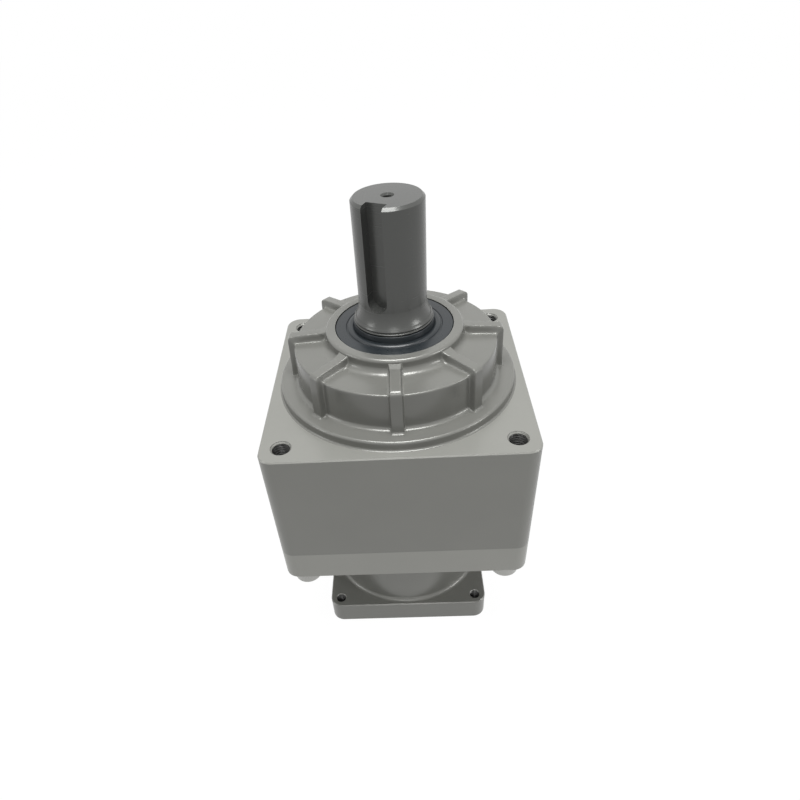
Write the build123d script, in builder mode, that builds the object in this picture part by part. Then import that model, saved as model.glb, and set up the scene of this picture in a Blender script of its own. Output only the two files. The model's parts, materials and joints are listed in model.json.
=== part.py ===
from build123d import *
import os
from math import acos, cos, degrees, pi, radians, sin, tan

os.makedirs("parts", exist_ok=True)

# A two-stage planetary gear reducer, 160 mm square, ratio 20 to 1. All sizes in millimetres.
# The origin is the centre of the face that meets the motor, and +Z runs up to the shaft end.

# Gears: two planet stages run in one long ring gear
module = 1.75
pressure_angle = radians(20)
ring_teeth = 72
first_sun_teeth = 18
first_planet_teeth = 27
output_sun_teeth = 24
output_planet_teeth = 24
planet_count = 3
first_planet_direction = radians(90)
tooth_relief = 0.08
addendum = module
dedendum = 1.25 * module
ring_gear_wall = 5.8

# Fits and running gaps
running_gap = 1.0
washer_gap = 0.15
roller_gap = 0.08
ball_gap = 0.12
lip_gap = 0.3
pocket_gap = 1.5
thread_end_room = 2.0

# Input side, from the motor upwards
motor_flange_side = 118
motor_flange_thickness = 18
motor_pilot_radius = 55
motor_pilot_depth = 5
motor_bolt_circle = 145
motor_thread_radius = 4.0
tapping_wall = 0.6
square_corner = 9
neck_radius = 55
neck_wall = 8
neck_fillet = 3.4
motor_chamber_depth = 50
web_lip = 4
input_seal_width = 8
input_seal_radius = 31
input_bearing_width = 15
circlip_room = 4.35
circlip_thickness = 1.9
circlip_groove_depth = 1.5
circlip_band = 5
chamber_floor_wall = 2.5
plate_side = 160
plate_thickness = 22
edge_chamfer = 0.7

# Stage widths, upwards
first_plate_thickness = 7
first_planet_width = 16
first_disc_thickness = 6
output_plate_thickness = 8
output_planet_width = 26
output_disc_thickness = 10
washer_thickness = 1.2
ring_gear_overhang = 1.0
rear_shoulder_height = 1.5

# Carriers and planet bearings
first_plate_radius = 50
first_disc_radius = 54
first_post_inner = 33
first_post_outer = 48
pin_inset = 1
first_pin_radius = 7
first_needle_radius = 1.25
first_needle_count = 20
output_plate_radius = 58
output_disc_radius = 60
output_post_inner = 36
output_post_outer = 56
output_pin_radius = 9
output_needle_radius = 1.5
output_needle_count = 21
washer_band = 5
carrier_screw_radius = 2.5
carrier_screw_head = 4.25
carrier_screw_head_height = 5
carrier_screw_grip = 12
sun_hub_radius = 17

# Shaft bearings
rear_bearing_bore = 60
rear_bearing_outside = 110
rear_bearing_width = 22
rear_ball_radius = 7.5
rear_ball_count = 10
front_bearing_bore = 50
front_bearing_outside = 90
front_bearing_width = 20
front_ball_radius = 6.35
front_ball_count = 10
input_bearing_bore = 40
input_bearing_outside = 68
input_ball_radius = 4
input_ball_count = 12
race_shoulder = 0.62
cage_band = 0.32
spacer_height = 2
spacer_wall = 4

# Output housing
block_roof = 1.0
pilot_radius = 74
pilot_height = 6
pilot_groove_width = 1.2
pilot_groove_depth = 0.5
nose_foot_radius = 62.4
nose_rim_radius = 61.9
nose_foot_fillet = 2.5
nose_rim_fillet = 1.4
boss_foot_fillet = 3
nose_roof = 8.1
nose_rise = 0.8
roof_lip = 6.75
boss_wall = 5.8
seal_recess = 0.4
bolt_square = 134.35
mounting_thread_radius = 6.0
mounting_thread_depth = 0.9
mounting_hole_chamfer = 0.25
mounting_hole_depth = 26
rib_count = 8
rib_width = 7.3
rib_outer_radius = 65.7
rib_draft = 0.8
rib_drop_inner = 2.6
rib_drop_outer = 4.8
rib_corner = 1.8
rib_edge_fillet = 0.8
adapter_screw_radius = 6.0
adapter_screw_head = 9
adapter_screw_head_height = 12
adapter_screw_socket = 10
adapter_screw_grip = 22
adapter_screw_clearance = 0.6
o_ring_radius = 1.3
o_ring_inset = 4.5

# Output shaft and seal
shaft_radius = 20
seal_journal = 22.5
collar_radius = 23
collar_foot = 4.1
shaft_projection = 74.7
collar_projection = 6.7
flare_height = 10
shaft_chamfer = 1.5
circlip_land = 1.8
shoulder_band = 5
keyway_width = 12
keyway_depth = 7.5
keyway_length = 58.7
keyway_direction = radians(243.7)
centre_hole_radius = 3
centre_hole_depth = 14
output_seal_radius = 36
output_seal_width = 10
seal_shell = 3
dust_lip_projection = 0.9
garter_radius = 0.9

# Input shaft and its clamp
input_bore_radius = 12
input_bore_depth = 46
input_shaft_start = 8
hub_radius = 18
hub_length = 36
hub_slot_width = 1.6
hub_slot_length = 32
hub_slot_count = 4
input_seal_journal = 22.5
sun_neck_radius = 12.5
sun_end_gap = 0.5
clamp_ring_radius = 34
clamp_ring_level = 23
clamp_ring_width = 18
clamp_slit = 2
clamp_screw_radius = 3
clamp_screw_offset = 25
clamp_screw_head = 5
clamp_screw_head_height = 6
clamp_screw_seat = 9
clamp_screw_length = 24
access_hole_radius = 7
access_plug_lip = 2
access_plug_proud = 1.2

# Heights that follow from the stack of pieces
input_seal_level = motor_chamber_depth + web_lip
input_bearing_level = input_seal_level + input_seal_width + washer_gap
input_bearing_top = input_bearing_level + input_bearing_width
carrier_chamber_level = input_bearing_top + circlip_room
plate_bottom = carrier_chamber_level + chamber_floor_wall
joint_level = plate_bottom + plate_thickness
side_room = washer_thickness + 2 * washer_gap
first_plate_level = carrier_chamber_level + running_gap
first_plate_top = first_plate_level + first_plate_thickness
first_planet_level = first_plate_top + side_room
first_planet_top = first_planet_level + first_planet_width
first_disc_level = first_planet_top + side_room
first_disc_top = first_disc_level + first_disc_thickness
output_plate_level = first_disc_top + running_gap
output_plate_top = output_plate_level + output_plate_thickness
output_planet_level = output_plate_top + side_room
output_planet_top = output_planet_level + output_planet_width
output_disc_level = output_planet_top + side_room
output_disc_top = output_disc_level + output_disc_thickness
ring_gear_level = first_planet_level - ring_gear_overhang
ring_gear_top = output_planet_top + ring_gear_overhang
rear_bearing_level = output_disc_top + rear_shoulder_height
rear_bearing_top = rear_bearing_level + rear_bearing_width
mounting_face = rear_bearing_top + block_roof
front_bearing_level = rear_bearing_top + spacer_height
front_bearing_top = front_bearing_level + front_bearing_width
seal_level = front_bearing_top + roof_lip
boss_top = seal_level + washer_gap + output_seal_width + seal_recess
pilot_top = mounting_face + pilot_height
nose_rim_level = front_bearing_top + nose_roof
nose_crown_level = nose_rim_level + nose_rise
shaft_end = boss_top + shaft_projection
flare_level = boss_top + collar_projection
keyway_end = shaft_end - keyway_length
output_seal_start = seal_level + washer_gap
input_seal_start = input_seal_level + input_seal_width

# Radii that follow from the gears and bearings
first_centre_distance = module * (first_sun_teeth + first_planet_teeth) / 2
output_centre_distance = module * (output_sun_teeth + output_planet_teeth) / 2
ring_gear_radius = module * ring_teeth / 2 + dedendum + ring_gear_wall
first_needle_circle = first_pin_radius + roller_gap + first_needle_radius
output_needle_circle = output_pin_radius + roller_gap + output_needle_radius
first_planet_bore = first_needle_circle + first_needle_radius + roller_gap
output_planet_bore = output_needle_circle + output_needle_radius + roller_gap
first_screw_circle = (first_post_inner + first_post_outer) / 2
output_screw_circle = (output_post_inner + output_post_outer) / 2
rear_seat = rear_bearing_outside / 2
front_seat = front_bearing_outside / 2
input_seat = input_bearing_outside / 2
rear_journal = rear_bearing_bore / 2
front_journal = front_bearing_bore / 2
input_journal = input_bearing_bore / 2
boss_radius = output_seal_radius + boss_wall
seal_shoulder_radius = output_seal_radius - circlip_groove_depth
neck_bore = neck_radius - neck_wall
output_seal_lip = seal_journal + lip_gap
input_seal_lip = input_seal_journal + lip_gap
motor_bolt_square = motor_bolt_circle * cos(pi / 4)
planet_directions = [first_planet_direction + 2 * pi * step / planet_count for step in range(planet_count)]
post_turn = degrees(first_planet_direction) + 180 / planet_count


def polar(radius, angle):
    """The point at this radius and angle, in radians."""
    return (radius * cos(angle), radius * sin(angle))


def involute(radius, base):
    """Angle that the involute of the base circle has turned through when it reaches this radius."""
    pressure = acos(base / radius)
    return tan(pressure) - pressure


def half_tooth(teeth, radius, inward):
    """Half the angle that one tooth fills at this radius, with the relief that gives backlash."""
    pitch = module * teeth / 2
    base = pitch * cos(pressure_angle)
    narrowing = involute(max(radius, base), base) - involute(pitch, base)
    if inward:
        narrowing = -narrowing
    return pi / (2 * teeth) - tooth_relief / pitch - narrowing


def draw_teeth(teeth, turn, inward=False):
    """Lines of a whole toothed outline: each flank is one arc through three points of its involute."""
    pitch = module * teeth / 2
    side = -1 if inward else 1
    root = pitch - side * dedendum
    tip = pitch + side * addendum
    foot = root if inward else max(root, pitch * cos(pressure_angle))
    middle = (foot + tip) / 2
    at_foot = half_tooth(teeth, foot, inward)
    at_middle = half_tooth(teeth, middle, inward)
    at_tip = half_tooth(teeth, tip, inward)
    step = 2 * pi / teeth
    for tooth in range(teeth):
        centre = turn + tooth * step
        if foot > root:
            Line(polar(root, centre - at_foot), polar(foot, centre - at_foot))
            Line(polar(foot, centre + at_foot), polar(root, centre + at_foot))
        ThreePointArc(
            polar(foot, centre - at_foot), polar(middle, centre - at_middle), polar(tip, centre - at_tip)
        )
        ThreePointArc(polar(tip, centre - at_tip), polar(tip, centre), polar(tip, centre + at_tip))
        ThreePointArc(
            polar(tip, centre + at_tip), polar(middle, centre + at_middle), polar(foot, centre + at_foot)
        )
        ThreePointArc(
            polar(root, centre + at_foot), polar(root, centre + step / 2), polar(root, centre + step - at_foot)
        )


def planet_turn(direction, planet_teeth):
    """Angle of a planet's first tooth that meshes with the ring gear, whose first tooth is at angle 0."""
    return direction - (pi + direction * ring_teeth) / planet_teeth


def sun_turn(sun_teeth, planet_teeth):
    """Angle of the sun's first tooth that meshes with the first planet."""
    direction = first_planet_direction
    facing = direction + pi - planet_turn(direction, planet_teeth)
    return direction + (facing * planet_teeth - pi) / sun_teeth


def planet_gear(direction, teeth, centre_distance, bore, level, width):
    """One planet gear on its own centre, with the bore that its needles run in."""
    x, y = polar(centre_distance, direction)
    with BuildPart() as gear:
        with BuildSketch(Plane((x, y, level))):
            with BuildLine():
                draw_teeth(teeth, planet_turn(direction, teeth))
            make_face()
            Circle(bore, mode=Mode.SUBTRACT)
        extrude(amount=width)
    return gear


def needle_set(direction, centre_distance, circle, radius, count, level, width):
    """The loose needle rollers of one planet, as separate solids round its pin."""
    x, y = polar(centre_distance, direction)
    with BuildPart() as needles:
        with BuildSketch(Plane((x, y, level + washer_gap))):
            with PolarLocations(circle, count):
                Circle(radius)
        extrude(amount=width - 2 * washer_gap)
    return needles


def planet_pins(centre_distance, radius, bottom, top):
    """The planet pins of one carrier."""
    with BuildPart() as pins:
        with BuildSketch(Plane.XY.offset(bottom)):
            with PolarLocations(centre_distance, planet_count, start_angle=degrees(first_planet_direction)):
                Circle(radius)
        extrude(amount=top - bottom)
        chamfer(pins.edges(), length=edge_chamfer)
    return pins


def thrust_washers(centre_distance, pin_radius, planet_level, planet_top):
    """A flat washer below and above each planet of one stage."""
    with BuildPart() as washers:
        for level in (planet_level - washer_gap - washer_thickness, planet_top + washer_gap):
            with BuildSketch(Plane.XY.offset(level)):
                with PolarLocations(centre_distance, planet_count, start_angle=degrees(first_planet_direction)):
                    Circle(pin_radius + washer_band)
                    Circle(pin_radius, mode=Mode.SUBTRACT)
            extrude(amount=washer_thickness)
    return washers


def carrier_screws(circle, plate_level):
    """The socket head screws that hold a carrier's plate to its posts, heads sunk in the plate."""
    head_seat = plate_level + carrier_screw_head_height + washer_gap
    with BuildPart() as screws:
        with BuildSketch(Plane.XY.offset(head_seat)):
            with PolarLocations(circle, planet_count, start_angle=post_turn):
                Circle(carrier_screw_radius)
        extrude(amount=carrier_screw_grip)
        with BuildSketch(Plane.XY.offset(head_seat)):
            with PolarLocations(circle, planet_count, start_angle=post_turn):
                Circle(carrier_screw_head)
        extrude(amount=-carrier_screw_head_height)
        with BuildSketch(Plane.XY.offset(head_seat - carrier_screw_head_height)):
            with PolarLocations(circle, planet_count, start_angle=post_turn):
                RegularPolygon(carrier_screw_head / 2, 6)
        extrude(amount=carrier_screw_head_height / 2, mode=Mode.SUBTRACT)
    return screws


def draw_posts(inner, outer, centre_distance, planet_teeth):
    """Section of a carrier's posts: a ring with a round pocket cut out for each planet."""
    pocket = module * planet_teeth / 2 + addendum + pocket_gap
    Circle(outer)
    Circle(inner, mode=Mode.SUBTRACT)
    with PolarLocations(centre_distance, planet_count, start_angle=degrees(first_planet_direction)):
        Circle(pocket, mode=Mode.SUBTRACT)


def carrier_plate(radius, bore, level, thickness, centre_distance, pin_radius, circle):
    """The plate that closes a carrier: pin holes, and counterbored holes for its screws."""
    with BuildPart() as plate:
        with BuildSketch(Plane.XY.offset(level)):
            Circle(radius)
            Circle(bore, mode=Mode.SUBTRACT)
            with PolarLocations(centre_distance, planet_count, start_angle=degrees(first_planet_direction)):
                Circle(pin_radius, mode=Mode.SUBTRACT)
            with PolarLocations(circle, planet_count, start_angle=post_turn):
                Circle(carrier_screw_radius, mode=Mode.SUBTRACT)
        extrude(amount=thickness)
        with BuildSketch(Plane.XY.offset(level)):
            with PolarLocations(circle, planet_count, start_angle=post_turn):
                Circle(carrier_screw_head + washer_gap)
        extrude(amount=carrier_screw_head_height + washer_gap, mode=Mode.SUBTRACT)
    return plate


def bearing_ring(inner, outer, level, width, pitch, ball_radius):
    """One ring of a ball bearing: a turned ring with the ball's groove in it."""
    with BuildPart() as ring:
        with BuildSketch(Plane.XZ):
            with Locations(((inner + outer) / 2, level + width / 2)):
                RectangleRounded(outer - inner, width, edge_chamfer)
            with Locations((pitch, level + width / 2)):
                Circle(ball_radius + ball_gap, mode=Mode.SUBTRACT)
        revolve(axis=Axis.Z)
    return ring


def bearing_balls(level, width, pitch, ball_radius, count):
    """The balls of one bearing, as separate solids."""
    with BuildPart(Plane.XY.offset(level + width / 2)) as balls:
        with PolarLocations(pitch, count):
            Sphere(ball_radius)
    return balls


def bearing_cage(level, width, pitch, ball_radius, count):
    """A snap-in crown cage: a band with round pockets that are open on the lower side."""
    band = cage_band * ball_radius
    below = ball_radius / 2
    above = (ball_radius + width / 2) / 2
    with BuildPart(Plane.XY.offset(level + width / 2)) as cage:
        with BuildSketch(Plane.XY.offset(level + width / 2 - below)):
            Circle(pitch + band)
            Circle(pitch - band, mode=Mode.SUBTRACT)
        extrude(amount=below + above)
        with PolarLocations(pitch, count):
            Sphere(ball_radius + ball_gap, mode=Mode.SUBTRACT)
    return cage


def circlip(inner, outer, level, lug_side):
    """A retaining ring with a gap and two eared ends; the ears point outwards or inwards."""
    middle = (inner + outer) / 2
    band = outer - inner
    ear_radius = middle + lug_side * band / 4
    ear_angle = band / middle
    with BuildPart() as ring:
        with BuildSketch(Plane.XY.offset(level)):
            Circle(middle + band / 4 + (1 - lug_side) * band / 8)
            Circle(middle - band / 4 - (1 + lug_side) * band / 8, mode=Mode.SUBTRACT)
            with Locations((0, middle)):
                Rectangle(band, 2 * band, mode=Mode.SUBTRACT)
            with Locations(polar(ear_radius, pi / 2 - ear_angle), polar(ear_radius, pi / 2 + ear_angle)):
                Circle(band / 2)
                Circle(band / 5, mode=Mode.SUBTRACT)
        extrude(amount=circlip_thickness)
    return ring


def radial_seal(seat, lip, start, width, lip_height):
    """A rotary shaft seal about Z, open towards the oil at its start; width and height carry its direction."""
    oil_side = 1 if width > 0 else -1
    shell = oil_side * seal_shell
    with BuildPart() as seal:
        with BuildSketch(Plane.XZ):
            with BuildLine():
                Polyline(
                    (seat, start),
                    (seat, start + width),
                    (lip + 1.35 * seal_shell, start + width),
                    (lip + 1.2 * seal_shell, start + lip_height),
                    (lip + 0.8 * seal_shell, start + lip_height),
                    (lip, start + width - shell / 3),
                    (lip + 1, start + width - shell),
                    (lip, start + shell),
                    (lip + 1, start + shell / 3),
                    (lip + seal_shell, start + shell / 3),
                    (lip + seal_shell, start + width - shell),
                    (seat - seal_shell, start + width - shell),
                    (seat - seal_shell, start),
                    close=True,
                )
            make_face()
            with Locations((lip + seal_shell + garter_radius / 3, start + shell)):
                Circle(garter_radius, mode=Mode.SUBTRACT)
        revolve(axis=Axis.Z)
    return seal


def garter_spring(lip, start, width):
    """The coil spring, drawn as its round outer form, that lies in the groove behind the seal's lip."""
    oil_side = 1 if width > 0 else -1
    with BuildPart() as spring:
        with BuildSketch(Plane.XZ):
            with Locations((lip + seal_shell + garter_radius / 3, start + oil_side * seal_shell)):
                Circle(garter_radius)
        revolve(axis=Axis.Z)
    return spring


def access_bar(radius, inner, outer):
    """A round bar along +Y at the height of the clamp screw, kept between two radii about Z."""
    with BuildPart() as bar:
        with BuildSketch(Plane.XZ):
            with Locations((clamp_screw_offset, clamp_ring_level + clamp_ring_width / 2)):
                Circle(radius)
        extrude(amount=-2 * neck_radius)
        with BuildSketch():
            Circle(outer)
            if inner:
                Circle(inner, mode=Mode.SUBTRACT)
        extrude(amount=plate_bottom, mode=Mode.INTERSECT)
    return bar.part


# One rib of the nose, drawn straight out along +X and repeated round the housing
with BuildPart() as rib:
    with BuildSketch(Plane.XZ.offset(-rib_width / 2)):
        with BuildLine():
            Polyline(
                (output_seal_radius + boss_wall / 2, pilot_top),
                (rib_outer_radius + rib_draft, pilot_top),
                (rib_outer_radius, boss_top - rib_drop_outer),
                (output_seal_radius + boss_wall / 2, boss_top - rib_drop_inner),
                close=True,
            )
        make_face()
    extrude(amount=rib_width)
    outer_edge = rib.edges().filter_by(Axis.Y).sort_by(Axis.X)[-2:].sort_by(Axis.Z)[-1]
    fillet(outer_edge, radius=rib_corner)
    wall_edges = rib.faces().sort_by(Axis.X)[-1].edges().sort_by(Axis.Y)
    fillet([wall_edges[0], wall_edges[-1]], radius=rib_edge_fillet)

# Output housing: one casting, square below and ribbed above, bored in steps from below
with BuildPart() as output_housing:
    with BuildSketch(Plane.XY.offset(joint_level)):
        RectangleRounded(plate_side, plate_side, square_corner)
    extrude(amount=mounting_face - joint_level)
    chamfer(output_housing.faces().sort_by(Axis.Z)[-1].edges(), length=edge_chamfer)
    with BuildSketch(Plane.XZ) as nose_profile:
        with BuildLine():
            Polyline(
                (0, mounting_face),
                (pilot_radius, mounting_face),
                (pilot_radius, pilot_top - edge_chamfer),
                (pilot_radius - edge_chamfer, pilot_top),
                (nose_foot_radius, pilot_top),
                (nose_rim_radius, nose_rim_level),
                (boss_radius, nose_crown_level),
                (boss_radius, boss_top),
                (0, boss_top),
                close=True,
            )
        make_face()
        nose_foot = nose_profile.vertices().sort_by_distance((nose_foot_radius, pilot_top))[0]
        fillet(nose_foot, radius=nose_foot_fillet)
        nose_rim = nose_profile.vertices().sort_by_distance((nose_rim_radius, nose_rim_level))[0]
        fillet(nose_rim, radius=nose_rim_fillet)
        boss_foot = nose_profile.vertices().sort_by_distance((boss_radius, nose_crown_level))[0]
        fillet(boss_foot, radius=boss_foot_fillet)
    revolve(axis=Axis.Z)
    with PolarLocations(0, rib_count, start_angle=-90):
        add(rib.part)
    with BuildSketch(Plane.XY.offset(mounting_face)):
        Circle(pilot_radius + pilot_groove_width)
        Circle(pilot_radius, mode=Mode.SUBTRACT)
    extrude(amount=-pilot_groove_depth, mode=Mode.SUBTRACT)
    with BuildSketch(Plane.XZ):
        with BuildLine():
            Polyline(
                (0, joint_level),
                (ring_gear_radius, joint_level),
                (ring_gear_radius, ring_gear_top),
                (output_disc_radius + 2 * running_gap, ring_gear_top),
                (output_disc_radius + 2 * running_gap, output_disc_top + running_gap),
                (rear_seat, output_disc_top + running_gap),
                (rear_seat, rear_bearing_top),
                (front_seat, rear_bearing_top),
                (front_seat, front_bearing_top),
                (seal_shoulder_radius, front_bearing_top),
                (seal_shoulder_radius, seal_level),
                (output_seal_radius, seal_level),
                (output_seal_radius, boss_top),
                (0, boss_top),
                close=True,
            )
        make_face()
    revolve(axis=Axis.Z, mode=Mode.SUBTRACT)
    with Locations(Plane.XY.offset(mounting_face)):
        with GridLocations(bolt_square, bolt_square, 2, 2):
            CounterSinkHole(
                mounting_thread_radius - mounting_thread_depth,
                mounting_thread_radius + mounting_hole_chamfer,
                mounting_hole_depth,
                90,
            )
    with BuildSketch(Plane.XY.offset(joint_level)):
        with GridLocations(bolt_square, bolt_square, 2, 2):
            Circle(adapter_screw_radius)
    extrude(amount=adapter_screw_grip + thread_end_room, mode=Mode.SUBTRACT)
output_housing.part.label = "output_housing"
export_step(output_housing.part, "parts/output_housing.step")

# Motor adapter: one casting, a square plate on a round neck on the motor's flange
with BuildPart() as motor_adapter:
    with BuildSketch():
        RectangleRounded(motor_flange_side, motor_flange_side, square_corner)
    extrude(amount=motor_flange_thickness)
    chamfer(motor_adapter.faces().sort_by(Axis.Z)[-1].edges(), length=edge_chamfer)
    with BuildSketch(Plane.XY.offset(motor_flange_thickness)):
        Circle(neck_radius)
    extrude(amount=plate_bottom - motor_flange_thickness)
    with BuildSketch(Plane.XY.offset(plate_bottom)):
        RectangleRounded(plate_side, plate_side, square_corner)
    extrude(amount=joint_level - plate_bottom)
    neck_edges = motor_adapter.edges().filter_by(GeomType.CIRCLE)
    neck_edges = neck_edges.filter_by(lambda edge: abs(edge.radius - neck_radius) < edge_chamfer)
    fillet(neck_edges, radius=neck_fillet)
    with BuildSketch(Plane.XZ):
        with BuildLine():
            Polyline(
                (0, 0),
                (motor_pilot_radius, 0),
                (motor_pilot_radius, motor_pilot_depth),
                (neck_bore, motor_pilot_depth),
                (neck_bore, motor_chamber_depth),
                (input_seal_radius - web_lip, motor_chamber_depth),
                (input_seal_radius - web_lip, input_seal_level),
                (input_seal_radius, input_seal_level),
                (input_seal_radius, input_bearing_level),
                (input_seat, input_bearing_level),
                (input_seat, input_bearing_top),
                (input_seat + circlip_groove_depth, input_bearing_top),
                (input_seat + circlip_groove_depth, input_bearing_top + circlip_thickness + washer_gap),
                (input_seat, input_bearing_top + circlip_thickness + washer_gap),
                (input_seat, carrier_chamber_level),
                (first_plate_radius + circlip_groove_depth, carrier_chamber_level),
                (first_plate_radius + circlip_groove_depth, ring_gear_level),
                (ring_gear_radius, ring_gear_level),
                (ring_gear_radius, joint_level),
                (0, joint_level),
                close=True,
            )
        make_face()
    revolve(axis=Axis.Z, mode=Mode.SUBTRACT)
    with BuildSketch(Plane.XY.offset(joint_level)):
        Circle(ring_gear_radius + o_ring_inset + o_ring_radius)
        Circle(ring_gear_radius + o_ring_inset - o_ring_radius, mode=Mode.SUBTRACT)
    extrude(amount=-2 * o_ring_radius, mode=Mode.SUBTRACT)
    with BuildSketch(Plane.XY.offset(plate_bottom)):
        with GridLocations(bolt_square, bolt_square, 2, 2):
            Circle(adapter_screw_radius + adapter_screw_clearance)
    extrude(amount=plate_thickness, mode=Mode.SUBTRACT)
    with BuildSketch():
        with GridLocations(motor_bolt_square, motor_bolt_square, 2, 2):
            Circle(motor_thread_radius - tapping_wall)
    extrude(amount=motor_flange_thickness, mode=Mode.SUBTRACT)
    add(access_bar(access_hole_radius, 0, neck_radius), mode=Mode.SUBTRACT)
motor_adapter.part.label = "motor_adapter"
export_step(motor_adapter.part, "parts/motor_adapter.step")

# Plug in the neck's access hole, with a lip that follows the round of the neck
with BuildPart() as access_plug:
    add(access_bar(access_hole_radius, neck_bore, neck_radius))
    add(access_bar(access_hole_radius + access_plug_lip, neck_radius, neck_radius + access_plug_proud))
access_plug.part.label = "access_plug"
export_step(access_plug.part, "parts/access_plug.step")

# Screws that hold the adapter to the housing, put in from below the plate
with BuildPart() as adapter_screws:
    with BuildSketch(Plane.XY.offset(plate_bottom - adapter_screw_head_height)):
        with GridLocations(bolt_square, bolt_square, 2, 2):
            Circle(adapter_screw_head)
    extrude(amount=adapter_screw_head_height)
    chamfer(adapter_screws.edges().group_by(Axis.Z)[0], length=edge_chamfer)
    with BuildSketch(Plane.XY.offset(plate_bottom)):
        with GridLocations(bolt_square, bolt_square, 2, 2):
            Circle(adapter_screw_radius)
    extrude(amount=plate_thickness + adapter_screw_grip)
    with BuildSketch(Plane.XY.offset(plate_bottom - adapter_screw_head_height)):
        with GridLocations(bolt_square, bolt_square, 2, 2):
            RegularPolygon(adapter_screw_socket / 2, 6, major_radius=False)
    extrude(amount=adapter_screw_head_height / 2, mode=Mode.SUBTRACT)
adapter_screws.part.label = "adapter_screws"
export_step(adapter_screws.part, "parts/adapter_screws.step")

with BuildPart() as adapter_o_ring:
    with BuildSketch(Plane.XZ):
        with Locations((ring_gear_radius + o_ring_inset, joint_level - o_ring_radius)):
            Circle(o_ring_radius)
    revolve(axis=Axis.Z)
adapter_o_ring.part.label = "adapter_o_ring"
export_step(adapter_o_ring.part, "parts/adapter_o_ring.step")

# Ring gear: one long internal gear that both stages run in
with BuildPart() as ring_gear:
    with BuildSketch(Plane.XY.offset(ring_gear_level)):
        Circle(ring_gear_radius)
        with BuildSketch(Plane.XY.offset(ring_gear_level), mode=Mode.SUBTRACT):
            with BuildLine():
                draw_teeth(ring_teeth, 0, inward=True)
            make_face()
    extrude(amount=ring_gear_top - ring_gear_level)
ring_gear.part.label = "ring_gear"
export_step(ring_gear.part, "parts/ring_gear.step")

# Output shaft: disc, posts, journals, collar and keyed end in one forging
with BuildPart() as output_shaft:
    with BuildSketch(Plane.XZ):
        with BuildLine():
            Polyline(
                (0, output_disc_level),
                (output_disc_radius, output_disc_level),
                (output_disc_radius, output_disc_top),
                (rear_journal + shoulder_band, output_disc_top),
                (rear_journal + shoulder_band, rear_bearing_level),
                (rear_journal, rear_bearing_level),
                (rear_journal, rear_bearing_top),
                (front_journal, rear_bearing_top),
                (front_journal, front_bearing_top),
                (front_journal - circlip_groove_depth, front_bearing_top),
                (front_journal - circlip_groove_depth, front_bearing_top + circlip_thickness + washer_gap),
                (front_journal, front_bearing_top + circlip_thickness + washer_gap),
                (front_journal, front_bearing_top + circlip_thickness + circlip_land),
                (seal_journal, front_bearing_top + circlip_thickness + circlip_land),
                (seal_journal, boss_top + collar_foot),
                (collar_radius, boss_top + collar_foot),
                (collar_radius, flare_level),
            )
            TangentArc(
                (shaft_radius, flare_level + flare_height), (collar_radius, flare_level), tangent=(0, -1)
            )
            Polyline(
                (shaft_radius, flare_level + flare_height),
                (shaft_radius, shaft_end - shaft_chamfer),
                (shaft_radius - shaft_chamfer, shaft_end),
                (0, shaft_end),
                (0, output_disc_level),
            )
        make_face()
    revolve(axis=Axis.Z)
    with BuildSketch(Plane.XY.offset(output_plate_top)):
        draw_posts(output_post_inner, output_post_outer, output_centre_distance, output_planet_teeth)
    extrude(amount=output_disc_level - output_plate_top)
    with BuildSketch(Plane.XY.offset(output_disc_level)):
        with PolarLocations(output_centre_distance, planet_count, start_angle=degrees(first_planet_direction)):
            Circle(output_pin_radius)
    extrude(amount=output_disc_thickness - running_gap, mode=Mode.SUBTRACT)
    with BuildSketch(Plane.XY.offset(output_plate_top)):
        with PolarLocations(output_screw_circle, planet_count, start_angle=post_turn):
            Circle(carrier_screw_radius)
    extrude(amount=carrier_screw_grip, mode=Mode.SUBTRACT)
    with BuildSketch(Plane.XY.offset(shaft_end)):
        with Locations(Location((0, 0, 0), (0, 0, degrees(keyway_direction)))):
            with Locations((shaft_radius - keyway_depth + shaft_radius, 0)):
                Rectangle(2 * shaft_radius, keyway_width)
    extrude(amount=-keyway_length + keyway_width / 2, mode=Mode.SUBTRACT)
    keyway_floor = Plane(
        origin=(*polar(shaft_radius - keyway_depth, keyway_direction), keyway_end + keyway_width / 2),
        z_dir=(*polar(1, keyway_direction), 0),
    )
    with BuildSketch(keyway_floor):
        Circle(keyway_width / 2)
    extrude(amount=shaft_radius, mode=Mode.SUBTRACT)
    with Locations(Plane.XY.offset(shaft_end)):
        CounterSinkHole(centre_hole_radius, centre_hole_radius + edge_chamfer, centre_hole_depth, 60)
output_shaft.part.label = "output_shaft"
export_step(output_shaft.part, "parts/output_shaft.step")

output_carrier_plate = carrier_plate(
    output_plate_radius,
    module * output_sun_teeth / 2 + addendum + running_gap,
    output_plate_level,
    output_plate_thickness,
    output_centre_distance,
    output_pin_radius,
    output_screw_circle,
)
output_carrier_plate.part.label = "output_carrier_plate"
export_step(output_carrier_plate.part, "parts/output_carrier_plate.step")

output_carrier_screws = carrier_screws(output_screw_circle, output_plate_level)
output_carrier_screws.part.label = "output_carrier_screws"
export_step(output_carrier_screws.part, "parts/output_carrier_screws.step")

output_planet_pins = planet_pins(
    output_centre_distance, output_pin_radius, output_plate_level + pin_inset, output_disc_top - running_gap
)
output_planet_pins.part.label = "output_planet_pins"
export_step(output_planet_pins.part, "parts/output_planet_pins.step")

output_thrust_washers = thrust_washers(
    output_centre_distance, output_pin_radius, output_planet_level, output_planet_top
)
output_thrust_washers.part.label = "output_thrust_washers"
export_step(output_thrust_washers.part, "parts/output_thrust_washers.step")

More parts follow.
